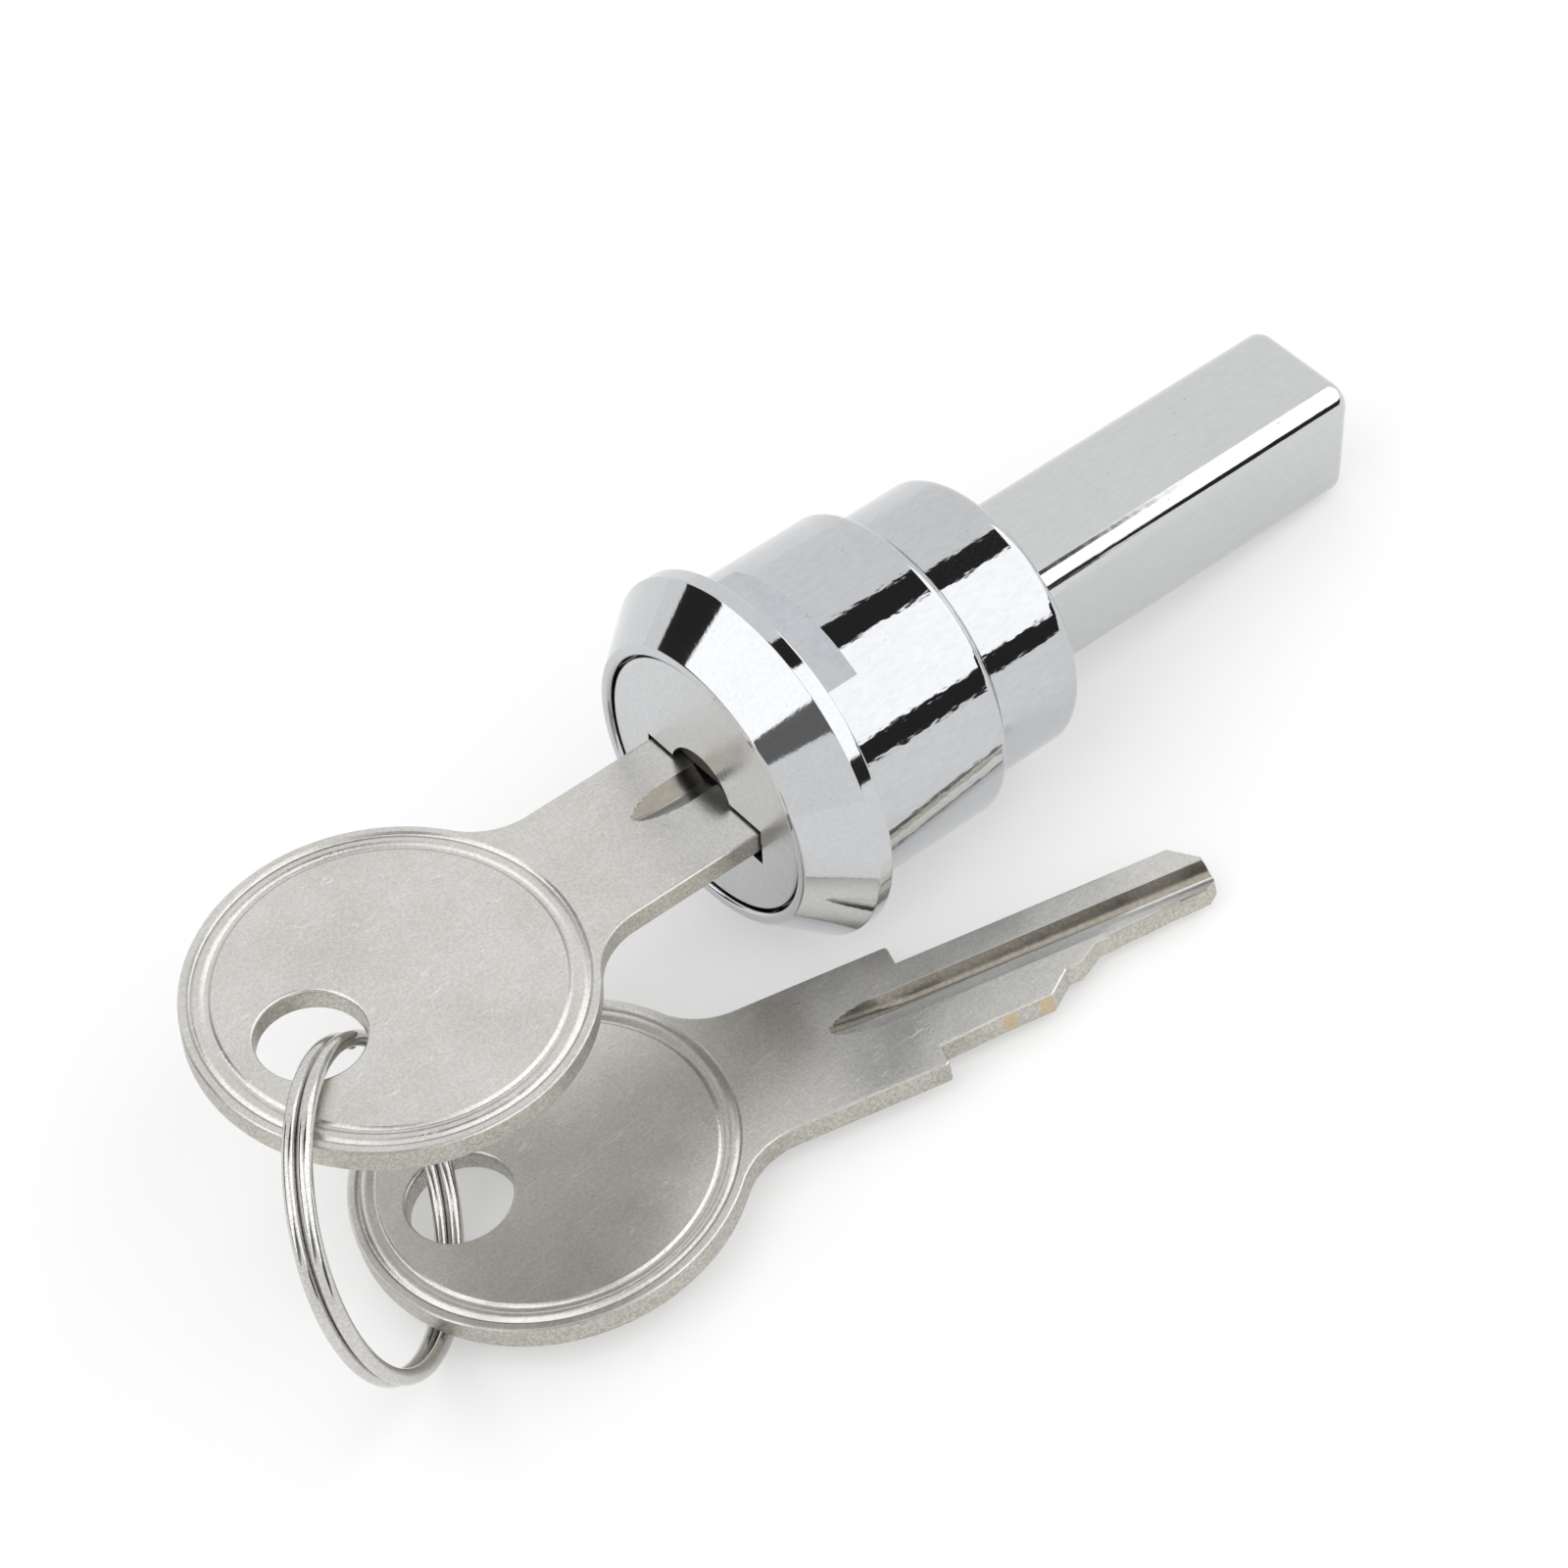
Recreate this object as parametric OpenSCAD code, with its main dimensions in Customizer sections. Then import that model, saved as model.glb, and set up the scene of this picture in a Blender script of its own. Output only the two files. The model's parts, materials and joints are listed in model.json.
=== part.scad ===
// Hitch pin lock: a wafer cylinder lock whose plug turns a square drive bar,
// with one key in the plug and a second key beside it on a split ring.
//
// The lock is drawn along +X, from its face to the bar's tip, with the centre
// of the bezel's seat at the origin. It is then laid on the table, where it
// rests on the bezel's rim and the bar's tip.

/* [Bezel] */
// Largest diameter of the bezel
bezel_d = 25; // [24:0.25:30]
// Length of the bezel, from its front lip to its seat
bezel_len = 4.65; // [4.4:0.05:7]
// Length of the straight land next to the seat
bezel_land = 1.1; // [0.6:0.1:2]
// Width of the lip round the plug's face
lip_w = 0.84; // [0.6:0.02:1.2]

/* [Barrel] */
// Diameter of the barrel behind the seat
barrel_d = 21.3; // [20.5:0.1:24]
// Length of the barrel, from the seat to the neck
barrel_len = 10.9; // [8:0.1:14]
// Diameter of the neck behind the barrel
neck_d = 18.7; // [18.4:0.1:20]
// Length of the lock behind its seat
lock_len = 18.1; // [17.6:0.1:22]
// Width of each slot for the retaining clip, along the barrel
clip_slot_w = 3.1; // [1.2:0.1:3.6]
// Depth of each slot for the retaining clip
clip_slot_depth = 1.65; // [0.6:0.05:1.8]

/* [Plug] */
// Diameter of the plug's face
head_d = 17.5; // [16.5:0.1:18]
// Thickness of the plug's head
head_t = 2.5; // [2.2:0.1:2.8]
// Diameter of the plug behind its head
plug_d = 12.4; // [12.2:0.05:12.6]
// Depth of the plug's face behind the lip
face_recess = 0.25; // [0.05:0.05:0.6]
// Diameter of the round relief over the keyway
relief_d = 5.7; // [3:0.1:6]
// How far the plug turns
turn = 90; // [60:5:90]
// Diameter of the stop pin
stop_pin_d = 1.4; // [1.2:0.05:1.5]

/* [Wafers] */
// Thickness of a wafer
wafer_t = 1.2; // [0.9:0.05:1.3]
// Distance between wafers
wafer_pitch = 2.45; // [2.2:0.05:2.5]
// Width of a wafer, across its slide
wafer_w = 4.8; // [4.4:0.1:5.2]
// How far a wafer reaches into the housing with the key out
wafer_travel = 0.8; // [0.5:0.05:0.9]
// Wire diameter of a spring
spring_wire = 0.2; // [0.14:0.01:0.22]
// Outer diameter of a spring
spring_d = 1.04; // [0.8:0.02:1.1]

/* [Drive bar] */
// Width of the bar
bar_w = 8.9; // [7:0.1:9.2]
// Height of the bar
bar_h = 9; // [7:0.1:9.2]
// Length of the bar behind the lock
bar_reach = 27.8; // [15:0.1:60]
// Radius of the bar's long edges
bar_edge_r = 1.6; // [0.4:0.1:2]
// Radius of the bar's corners at its tip
bar_tip_r = 1; // [0.3:0.1:2]
// Length of the plug's flats inside the bar's hub
dog_len = 1.6; // [1:0.1:1.8]

/* [Keys] */
// Diameter of the bow
bow_d = 24.9; // [22:0.1:30]
// Diameter of the hole in the bow
bow_hole_d = 6.6; // [5.6:0.1:8]
// Distance from the bow's centre to its hole
bow_hole_offset = 5.75; // [4:0.05:7]
// Thickness of the key
key_t = 1.75; // [1.4:0.05:1.8]
// Distance from the bow's centre to the shoulders
stem_len = 24.4; // [22:0.1:30]
// Width of the stem
stem_w = 10.4; // [9:0.1:11]
// Radius of the neck's fillets
neck_r = 5; // [3:0.5:8]
// Length of the blade
blade_len = 19.9; // [19.6:0.05:20.1]
// Width of the blade
blade_w = 7.4; // [7:0.05:7.5]
// Distance from the shoulder to the first cut
first_cut = 4.6; // [4.4:0.05:4.9]
// Depth of each cut, from the shoulder to the tip
cuts = [0.25, 0.3, 1.7, 2.7, 2.85, 3]; // [0:0.05:3.2]
// Width of the long groove in each side of the blade
groove_w = 2.4; // [1.5:0.1:2.6]
// Depth of the long groove
groove_depth = 0.5; // [0.2:0.05:0.6]
// Length over which the groove rises out of the stem
groove_runout = 4.6; // [2:0.1:8]
// Distance from the bow's edge to its rim groove
rim_inset = 0.95; // [0.6:0.05:2]
// Width of the bow's rim groove
rim_groove_w = 0.8; // [0.4:0.05:1.2]
// Depth of the bow's rim groove
rim_groove_depth = 0.18; // [0.08:0.01:0.3]

/* [Split ring] */
// Diameter of the split ring along the middle of its wire
ring_d = 20; // [19:0.1:21]
// Thickness of the wire across the ring
ring_wire_t = 1.05; // [0.8:0.05:1.2]
// Width of the wire along the ring's axis
ring_wire_w = 0.72; // [0.6:0.02:0.8]
// Gap between the ring's two coils
ring_coil_gap = 0.46; // [0.44:0.02:0.5]

/* [Lying on the table] */
// Heading of the split ring's axis
ring_heading = -42.7; // [-46:0.1:-40]
// Lean of the split ring from upright
ring_lean = 12.9; // [10:0.1:16]
// Heading of the second key
loose_heading = -18.4; // [-22:0.1:-14]
// Tilt of the second key off the table
loose_lean = 6; // [4:0.5:8]

/* [Fits] */
// Radial clearance of the plug and of the bar's hub
running_gap = 0.06; // [0.03:0.01:0.1]
// Gap round the plug's face
face_gap = 0.22; // [0.1:0.02:0.3]
// Clearance of a wafer, a retainer or a key in its slot
slot_gap = 0.06; // [0.04:0.01:0.1]
// Clearance of what passes with room to spare
free_gap = 0.3; // [0.2:0.05:0.4]

/* [Hidden] */
$fn = 96;

function band(middle, size) = [middle - size / 2, middle + size / 2];

// Radii
bezel_r = bezel_d / 2;
barrel_r = barrel_d / 2;
rear_r = neck_d / 2;
head_r = head_d / 2;
head_bore_r = head_r + face_gap;
front_r = head_bore_r + lip_w;
plug_r = plug_d / 2;
plug_bore_r = plug_r + running_gap;
channel_r = plug_r + wafer_travel + free_gap;
bow_r = bow_d / 2;
bow_hole_r = bow_hole_d / 2;

// Edges of the housing
lip_round = 0.3;
seat_chamfer = 0.2;
shoulder_round = 0.5;
shoulder_fillet = 0.4;
rear_round = 0.8;

// Stations along the lock's axis
face_x = -bezel_len + face_recess;
head_back_x = face_x + head_t;
head_floor_x = head_back_x + running_gap;
shoulder_depth = 0.6;
shoulder_x = face_x + shoulder_depth;
bow_x = shoulder_x - stem_len;
blade_tip_x = shoulder_x + blade_len;
wafer_x = [for (i = [0:5]) shoulder_x + first_cut + i * wafer_pitch];
tail_wall = 0.55;
tail_x = wafer_x[5] + wafer_t / 2 + tail_wall;
plug_end_x = tail_x + dog_len;
channel_x = [wafer_x[0] - wafer_t / 2 - slot_gap, wafer_x[5] + wafer_t / 2 + free_gap / 2];

// The key lies a little below the lock's axis
key_z = -0.9;
keyway_h = key_t + 4 * slot_gap;
keyway_w = blade_w + 4 * slot_gap;
shoulder_slot_h = key_t + 0.5;
shoulder_slot_w = stem_w + 0.35;
relief_y = 0.3;
relief_z = key_z + 0.3;

// Wafers: the window clears the whole blade, and an ear bears on the spring
window_h = key_t + 4 * slot_gap;
window_top = blade_w / 2 + 2 * slot_gap;
window_bottom = -blade_w / 2 - wafer_travel * 0.75 - slot_gap;
wafer_z = band(key_z, wafer_w);
ear_w = 1.5;
ear_y = [0.3, 1.5];
ear_z = wafer_z[1] + ear_w;
spring_bottom_y = -4.2;
wafer_spring_curls = 5;
wafer_spring_z = wafer_z[1] + ear_w / 2;

// The retainer is a sprung plate that keeps the plug in the housing
retainer_t = 1;
retainer_w = 4.2;
retainer_reach = 0.6;
retainer_x = head_back_x + 0.6 + retainer_t / 2;
retainer_top_z = -3.95;
retainer_spring_top_z = -2.35;
retainer_spring_curls = 2;
retainer_groove_r = plug_r + retainer_reach + 0.15;

// The stop pin stands in an arc notch in the back of the plug's head
stop_pin_r = 7.8;
stop_pin_angle = 225;
stop_pin_out = 1.2;
stop_pin_in = 1.9;
stop_notch_depth = stop_pin_out + 0.15;
stop_notch_margin = asin((stop_pin_d / 2 + running_gap) / stop_pin_r);

// The bar's hub turns in the rear of the housing behind a retaining ring
hub_r = 7.9;
hub_bore_r = hub_r + running_gap;
hub_floor_x = tail_x - slot_gap;
ring_lip = 0.4;
retaining_ring_t = 0.75;
retaining_ring_x = band(lock_len - ring_lip - slot_gap - retaining_ring_t / 2, retaining_ring_t);
retaining_ring_r = [7.1, hub_r + 0.55];
retaining_groove_r = retaining_ring_r[1] + slot_gap;
hub_x = [tail_x + slot_gap, retaining_ring_x[0] - slot_gap];
dog_flat = 4.9;
tip_pocket_x = blade_tip_x + free_gap + 0.1;
bar_tip_x = lock_len + bar_reach;

// Shape of the key, from the bow's centre: u along the blade, v across it
bow_neck_u = sqrt(pow(bow_r + neck_r, 2) - pow(stem_w / 2 + neck_r, 2));
key_tip_u = stem_len + blade_len;
tip_bevel = 1.6;
groove_v = 0.65;
cut_flat = 0.9;
blade_edge = concat(
    [[stem_len, -blade_w / 2]],
    [for (i = [0:5], side = [-1, 1])
        [stem_len + first_cut + i * wafer_pitch + side * cut_flat / 2, -blade_w / 2 + cuts[i]]],
    [[key_tip_u - 0.7, -blade_w / 2 + cuts[5] + 0.1]]
);

// The lock rests on the back edge of the bezel's land and on the bar's tip
rest_rise = bezel_r - bar_h / 2 + bar_tip_r;
rest_run = bar_tip_x - bar_tip_r + seat_chamfer;
rest_tilt = acos(bar_tip_r / norm([rest_rise, rest_run])) - atan2(rest_run, rest_rise);
seat_height = bezel_r * cos(rest_tilt) - seat_chamfer * sin(rest_tilt);

function spin_x(p, a) = [p[0], p[1] * cos(a) - p[2] * sin(a), p[1] * sin(a) + p[2] * cos(a)];
function spin_y(p, a) = [p[0] * cos(a) + p[2] * sin(a), p[1], -p[0] * sin(a) + p[2] * cos(a)];
function spin_z(p, a) = [p[0] * cos(a) - p[1] * sin(a), p[0] * sin(a) + p[1] * cos(a), p[2]];
function on_table(p) = spin_y(p, rest_tilt) + [0, 0, seat_height];

// The split ring passes through the first key's hole. It stands on the table,
// or hangs from the first key where the hole is too high for that
ring_r = ring_d / 2;
ring_pitch = ring_wire_w + ring_coil_gap;
hole_1 = on_table([bow_x - bow_hole_offset, 0, key_z]);
standing_z = ring_r * cos(ring_lean) + ring_pitch / 2 * sin(ring_lean)
    + norm([ring_wire_t / 2 * cos(ring_lean), ring_wire_w / 2 * sin(ring_lean)]);
hanging_angle = 135.2;
ring_lift = max(0, hole_1[2] + ring_r * cos(ring_lean) * cos(hanging_angle) - standing_z);
ring_center_z = standing_z + ring_lift;
function ring_offset(a) = spin_z(spin_y(spin_z([ring_r, 0, 0], a), 90 - ring_lean), ring_heading);
hole_1_angle = acos(-(hole_1[2] - ring_center_z) / (ring_r * cos(ring_lean)));

// The slanting wire needs this stretch of the first key's hole, and lies to one side of it
function ring_reach(r, z) = sqrt(pow(r, 2) - pow((z - ring_center_z) / cos(ring_lean), 2));
hole_1_stretch = [
    ring_reach(ring_r - ring_wire_t / 2, hole_1[2] + key_t / 2),
    ring_reach(ring_r + ring_wire_t / 2, hole_1[2] - key_t / 2)
];
hole_1_need = (hole_1_stretch[1] - hole_1_stretch[0]) / 2;
hole_1_lag = 0.2 * (bow_hole_r - hole_1_need);
ring_hole_gap = 0.4;
ring_in_hole_1 = spin_z([
    sqrt(pow(bow_hole_r, 2) - pow(hole_1_need + hole_1_lag, 2))
        - (ring_pitch + ring_wire_w) / 2 - ring_hole_gap,
    ring_reach(ring_r, hole_1[2]) - (hole_1_stretch[0] + hole_1_stretch[1]) / 2 - hole_1_lag,
    0
], ring_heading);
ring_center = [
    hole_1[0] + ring_in_hole_1[0] - ring_offset(hole_1_angle)[0],
    hole_1[1] + ring_in_hole_1[1] - ring_offset(hole_1_angle)[1],
    ring_center_z
];

// The second key lies on its bow and tip, lifted on the near side by the ring
tip_corner = [key_tip_u - tip_bevel, blade_w / 2];
touch_angle = atan2(tip_corner[1], tip_corner[0]) + acos(bow_r / norm(tip_corner));
touch = bow_r * [cos(touch_angle), sin(touch_angle)];
touch_heading = touch_angle - 90;
hole_2_arm = -spin_z([-bow_hole_offset - touch[0], -touch[1], 0], -touch_heading)[1];
key_2_lean = asin(sin(loose_lean) + ring_lift / hole_2_arm);
function laid(p) = spin_z(spin_x(spin_z(p - [touch[0], touch[1], -key_t / 2], -touch_heading),
    -key_2_lean), loose_heading + touch_heading);
hole_2 = laid([-bow_hole_offset, 0, 0]);
ring_in_hole_2 = [-0.29, 1.45];
hole_2_angle = acos(-(hole_2[2] - ring_center_z) / (ring_r * cos(ring_lean)));
loose_at = [
    ring_center[0] + ring_offset(hole_2_angle)[0] - ring_in_hole_2[0] - hole_2[0],
    ring_center[1] + ring_offset(hole_2_angle)[1] - ring_in_hole_2[1] - hole_2[1],
    0
];

// The origin is on the table, below the middle of everything
ring_axis = spin_z(spin_y([0, 0, 1], 90 - ring_lean), ring_heading);
left_x = ring_center[0] - (ring_r + ring_wire_t / 2) * norm([ring_axis[1], ring_axis[2]])
    - (ring_pitch + ring_wire_w) / 2 * ring_axis[0];
right_x = on_table([bar_tip_x - bar_tip_r, 0, bar_h / 2 - bar_tip_r])[0] + bar_tip_r;
near_y = loose_at[1] + laid([key_tip_u - 0.7, blade_edge[13][1], -key_t / 2])[1];
middle = [(left_x + right_x) / 2, (near_y + bezel_r) / 2, 0];

// Least distance between points of a wound wire that lie half a turn or more apart
function coil_point(i, r, per_turn, heights) =
    [r * cos(360 * i / per_turn), r * sin(360 * i / per_turn), heights[i]];
function least_gap(r, per_turn, heights) = min([
    for (i = [0:len(heights) - 1], j = [i + per_turn / 2:1:len(heights) - 1])
        norm(coil_point(i, r, per_turn, heights) - coil_point(j, r, per_turn, heights))]);

// The split ring: two flat coils, joined by a step between the wire's two ends
loop_steps = 24;
step_half = 1.5;
ring_heights = [for (i = [2:2 * loop_steps - 2])
    ring_pitch * min(max((i - loop_steps) / (2 * step_half), -0.5), 0.5)];
echo(split_ring_gap = least_gap(ring_r, loop_steps, ring_heights) - ring_wire_w);

curl_steps = 8;
spring_r = (spring_d - spring_wire) / 2;
wafer_spring_len = ear_y[0] - slot_gap / 2 - spring_bottom_y - spring_wire;
wafer_spring_heights = [for (i = [0:wafer_spring_curls * curl_steps])
    wafer_spring_len * i / (wafer_spring_curls * curl_steps)];
echo(wafer_spring_gap = least_gap(spring_r, curl_steps, wafer_spring_heights) - spring_wire);
retainer_spring_len = retainer_spring_top_z - retainer_top_z - slot_gap - spring_wire;
retainer_spring_heights = [for (i = [0:retainer_spring_curls * curl_steps])
    retainer_spring_len * i / (retainer_spring_curls * curl_steps)];
echo(retainer_spring_gap = least_gap(spring_r, curl_steps, retainer_spring_heights) - spring_wire);

function arc(center, r, from, to, steps = 6) = [
    for (i = [0:steps])
        let (a = from + (to - from) * i / steps)
            center + r * [cos(a), sin(a)]
];

// A wire of six sides, wound about Z through the given heights
module wound_wire(r, per_turn, heights, thick, wide) {
    sides = 6;
    last = len(heights) - 1;
    points = [for (i = [0:last], k = [0:sides - 1])
        let (a = 360 * i / per_turn, b = 360 * k / sides, reach = r + thick / 2 * cos(b))
        [reach * cos(a), reach * sin(a), heights[i] + wide / 2 * sin(b)]];
    walls = [for (i = [0:last - 1], k = [0:sides - 1], half = [0, 1])
        let (a = i * sides + k, b = i * sides + (k + 1) % sides)
        half == 0 ? [a, b, b + sides] : [a, b + sides, a + sides]];
    start_cap = [for (k = [1:sides - 2]) [0, k + 1, k]];
    end_cap = [for (k = [1:sides - 2]) [last * sides, last * sides + k, last * sides + k + 1]];
    polyhedron(points, concat(walls, start_cap, end_cap));
}

// Turns a shape drawn in X and Y, and raised along Z, so that it stands along +X
module along_x() {
    rotate([90, 0, 90])
        children();
}

module rod(r, x0, x1) {
    along_x()
        translate([0, 0, x0])
            cylinder(r = r, h = x1 - x0);
}

module block(x, y, z) {
    translate([x[0], y[0], z[0]])
        cube([x[1] - x[0], y[1] - y[0], z[1] - z[0]]);
}

module rounded_rectangle(w, h, r) {
    square([w - 2 * r, h], center = true);
    square([w, h - 2 * r], center = true);
    for (x = [-1, 1], y = [-1, 1])
        translate([x * (w / 2 - r), y * (h / 2 - r)])
            circle(r);
}

module centered() {
    translate(-middle)
        children();
}

// Lays the lock on the table
module lay() {
    centered()
        translate([0, 0, seat_height])
            rotate([0, rest_tilt, 0])
                children();
}

module housing_shape() {
    along_x()
        rotate_extrude()
            polygon(concat(
                arc([head_bore_r + lip_round, -bezel_len + lip_round], lip_round, 180, 270, 4),
                arc([front_r - lip_round, -bezel_len + lip_round], lip_round, 270, 330, 3),
                [[bezel_r, -bezel_land], [bezel_r, -seat_chamfer],
                 [bezel_r - seat_chamfer, 0], [barrel_r, 0]],
                arc([barrel_r - shoulder_round, barrel_len - shoulder_round], shoulder_round, 0, 90),
                arc([rear_r + shoulder_fillet, barrel_len + shoulder_fillet], shoulder_fillet, 270, 180),
                arc([rear_r - rear_round, lock_len - rear_round], rear_round, 0, 90),
                [[hub_bore_r, lock_len],
                 [hub_bore_r, retaining_ring_x[1] + slot_gap],
                 [retaining_groove_r, retaining_ring_x[1] + slot_gap],
                 [retaining_groove_r, retaining_ring_x[0] - slot_gap],
                 [hub_bore_r, retaining_ring_x[0] - slot_gap],
                 [hub_bore_r, hub_floor_x], [plug_bore_r, hub_floor_x],
                 [plug_bore_r, retainer_x + retainer_t / 2 + slot_gap],
                 [retainer_groove_r, retainer_x + retainer_t / 2 + slot_gap],
                 [retainer_groove_r, retainer_x - retainer_t / 2 - slot_gap],
                 [plug_bore_r, retainer_x - retainer_t / 2 - slot_gap],
                 [plug_bore_r, head_floor_x], [head_bore_r, head_floor_x]]
            ));
}

// Where the wafers stand out of the plug with the key withdrawn
module wafer_channel() {
    intersection() {
        rod(channel_r, channel_x[0], channel_x[1]);
        block(channel_x, [0, channel_r + 1], [wafer_z[0] - free_gap, wafer_z[1] + free_gap]);
    }
}

module lock_body() {
    color("gainsboro")
        lay()
            difference() {
                housing_shape();
                for (a = [0, turn])
                    rotate([a, 0, 0])
                        wafer_channel();
                for (side = [0, 180])
                    rotate([side, 0, 0])
                        block([0, clip_slot_w], [-barrel_r, barrel_r],
                            [barrel_r - clip_slot_depth, barrel_r + 1]);
                stop_pin_shape(stop_pin_in);
            }
}

module stop_pin_shape(depth) {
    rotate([stop_pin_angle, 0, 0])
        translate([0, stop_pin_r, 0])
            rod(stop_pin_d / 2, head_floor_x - stop_pin_out, head_floor_x + depth);
}

module stop_pin() {
    color("dimgray")
        lay()
            stop_pin_shape(stop_pin_in - slot_gap);
}

module retaining_ring() {
    gap_half = 24;
    ear_r = 1;
    ear_hole_r = 0.4;
    ear_at = retaining_ring_r[0] + 0.1;
    color("slategray")
        lay()
            along_x()
                translate([0, 0, retaining_ring_x[0]])
                    linear_extrude(retaining_ring_t)
                        difference() {
                            union() {
                                difference() {
                                    circle(retaining_ring_r[1]);
                                    circle(retaining_ring_r[0]);
                                    polygon([[0, 0],
                                        hub_bore_r * 2 * [sin(gap_half), -cos(gap_half)],
                                        hub_bore_r * 2 * [-sin(gap_half), -cos(gap_half)]]);
                                }
                                for (side = [-1, 1])
                                    rotate(side * (gap_half + 1))
                                        translate([0, -ear_at])
                                            circle(ear_r);
                            }
                            for (side = [-1, 1])
                                rotate(side * (gap_half + 1))
                                    translate([0, -ear_at])
                                        circle(ear_hole_r);
                        }
}

module stop_notch() {
    along_x()
        translate([0, 0, head_back_x - stop_notch_depth])
            rotate([0, 0, stop_pin_angle - turn - stop_notch_margin])
                rotate_extrude(angle = turn + 2 * stop_notch_margin)
                    translate([stop_pin_r - stop_pin_d / 2 - running_gap, 0])
                        square([head_r, stop_notch_depth + 1]);
}

module plug() {
    color("silver")
        lay()
            difference() {
                union() {
                    rod(head_r, face_x, head_back_x);
                    rod(plug_r, head_back_x - 1, tail_x);
                    intersection() {
                        rod(plug_r, tail_x - 1, plug_end_x);
                        block([tail_x - 1, plug_end_x], band(0, plug_d), band(0, 2 * dog_flat));
                    }
                }
                block([face_x - 1, plug_end_x + 1], band(0, keyway_w),
                    band(key_z, keyway_h));
                block([face_x - 1, shoulder_x + slot_gap], band(0, shoulder_slot_w),
                    band(key_z, shoulder_slot_h));
                translate([0, relief_y, relief_z])
                    rod(relief_d / 2, face_x - 1, shoulder_x + slot_gap);
                stop_notch();
                for (x = wafer_x) {
                    block(band(x, wafer_t + 2 * slot_gap), [-plug_r - 1, plug_r + 1],
                        wafer_z + [-slot_gap, slot_gap]);
                    block(band(x, wafer_t + 2 * slot_gap),
                        [spring_bottom_y, ear_y[1] + wafer_travel + free_gap],
                        [wafer_z[1] - 1, ear_z + slot_gap]);
                }
                block(band(retainer_x, retainer_t + 2 * slot_gap),
                    band(0, retainer_w + 2 * slot_gap), [-plug_r - 1, retainer_top_z]);
                translate([retainer_x, 0, retainer_top_z - 1])
                    cylinder(r = spring_d / 2 + slot_gap, h = retainer_spring_top_z - retainer_top_z + 1);
            }
}

module retainer() {
    color("goldenrod")
        lay()
            intersection() {
                rod(plug_r + retainer_reach, retainer_x - retainer_t / 2, retainer_x + retainer_t / 2);
                block(band(retainer_x, 2 * retainer_t), band(0, retainer_w),
                    [-plug_r - 2, retainer_top_z - slot_gap]);
            }
}

module retainer_spring() {
    color("lightsteelblue")
        lay()
            translate([retainer_x, 0, retainer_top_z + spring_wire / 2])
                wound_wire(spring_r, curl_steps, retainer_spring_heights, spring_wire, spring_wire);
}

module wafer(i) {
    color("goldenrod")
        lay()
            difference() {
                union() {
                    intersection() {
                        rod(plug_r, wafer_x[i] - wafer_t / 2, wafer_x[i] + wafer_t / 2);
                        block(band(wafer_x[i], 2 * wafer_t), [-plug_r, plug_r], wafer_z);
                    }
                    block(band(wafer_x[i], wafer_t), ear_y, [wafer_z[1] - 0.5, ear_z]);
                }
                block(band(wafer_x[i], 2 * wafer_t), [window_bottom, window_top],
                    band(key_z, window_h));
            }
}

module wafer_spring(i) {
    color("lightsteelblue")
        lay()
            translate([wafer_x[i], spring_bottom_y + spring_wire / 2, wafer_spring_z])
                rotate([-90, 0, 0])
                    wound_wire(spring_r, curl_steps, wafer_spring_heights, spring_wire, spring_wire);
}

module bar_shape() {
    overall = bar_tip_x - hub_x[0];
    intersection() {
        along_x()
            translate([0, 0, hub_x[1] - 0.5])
                linear_extrude(bar_tip_x - hub_x[1] + 0.5)
                    rounded_rectangle(bar_w, bar_h, bar_edge_r);
        translate([bar_tip_x - overall / 2, 0, -bar_h / 2])
            linear_extrude(bar_h)
                rounded_rectangle(overall, bar_w, bar_tip_r);
        translate([bar_tip_x - overall / 2, bar_w / 2, 0])
            rotate([90, 0, 0])
                linear_extrude(bar_w)
                    rounded_rectangle(overall, bar_h, bar_tip_r);
    }
}

module drive_bar() {
    color("whitesmoke")
        lay()
            difference() {
                union() {
                    rod(hub_r, hub_x[0], hub_x[1]);
                    bar_shape();
                }
                intersection() {
                    rod(plug_bore_r, hub_x[0] - 1, plug_end_x + slot_gap);
                    block([hub_x[0] - 1, plug_end_x + slot_gap], [-plug_bore_r, plug_bore_r],
                        band(0, 2 * (dog_flat + slot_gap)));
                }
                block([hub_x[0] - 1, tip_pocket_x], band(0, keyway_w),
                    band(key_z, keyway_h));
            }
}

module key_outline() {
    difference() {
        union() {
            circle(bow_r);
            difference() {
                p = bow_r / (bow_r + neck_r) * [bow_neck_u, stem_w / 2 + neck_r];
                polygon([[0, -p[1]], [p[0], -p[1]], [bow_neck_u, -stem_w / 2],
                    [bow_neck_u, stem_w / 2], [p[0], p[1]], [0, p[1]]]);
                for (side = [-1, 1])
                    translate([bow_neck_u, side * (stem_w / 2 + neck_r)])
                        circle(neck_r);
            }
            translate([bow_neck_u - 1, -stem_w / 2])
                square([stem_len - bow_neck_u + 1, stem_w]);
            polygon(concat(
                [[stem_len - 1, blade_w / 2], [stem_len - 1, -blade_w / 2]],
                blade_edge,
                [[key_tip_u, -blade_w / 2 + cuts[5] + 0.8], [key_tip_u, blade_w / 2 - tip_bevel],
                 [key_tip_u - tip_bevel, blade_w / 2]]
            ));
        }
        translate([-bow_hole_offset, 0])
            circle(bow_hole_r);
    }
}

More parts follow.
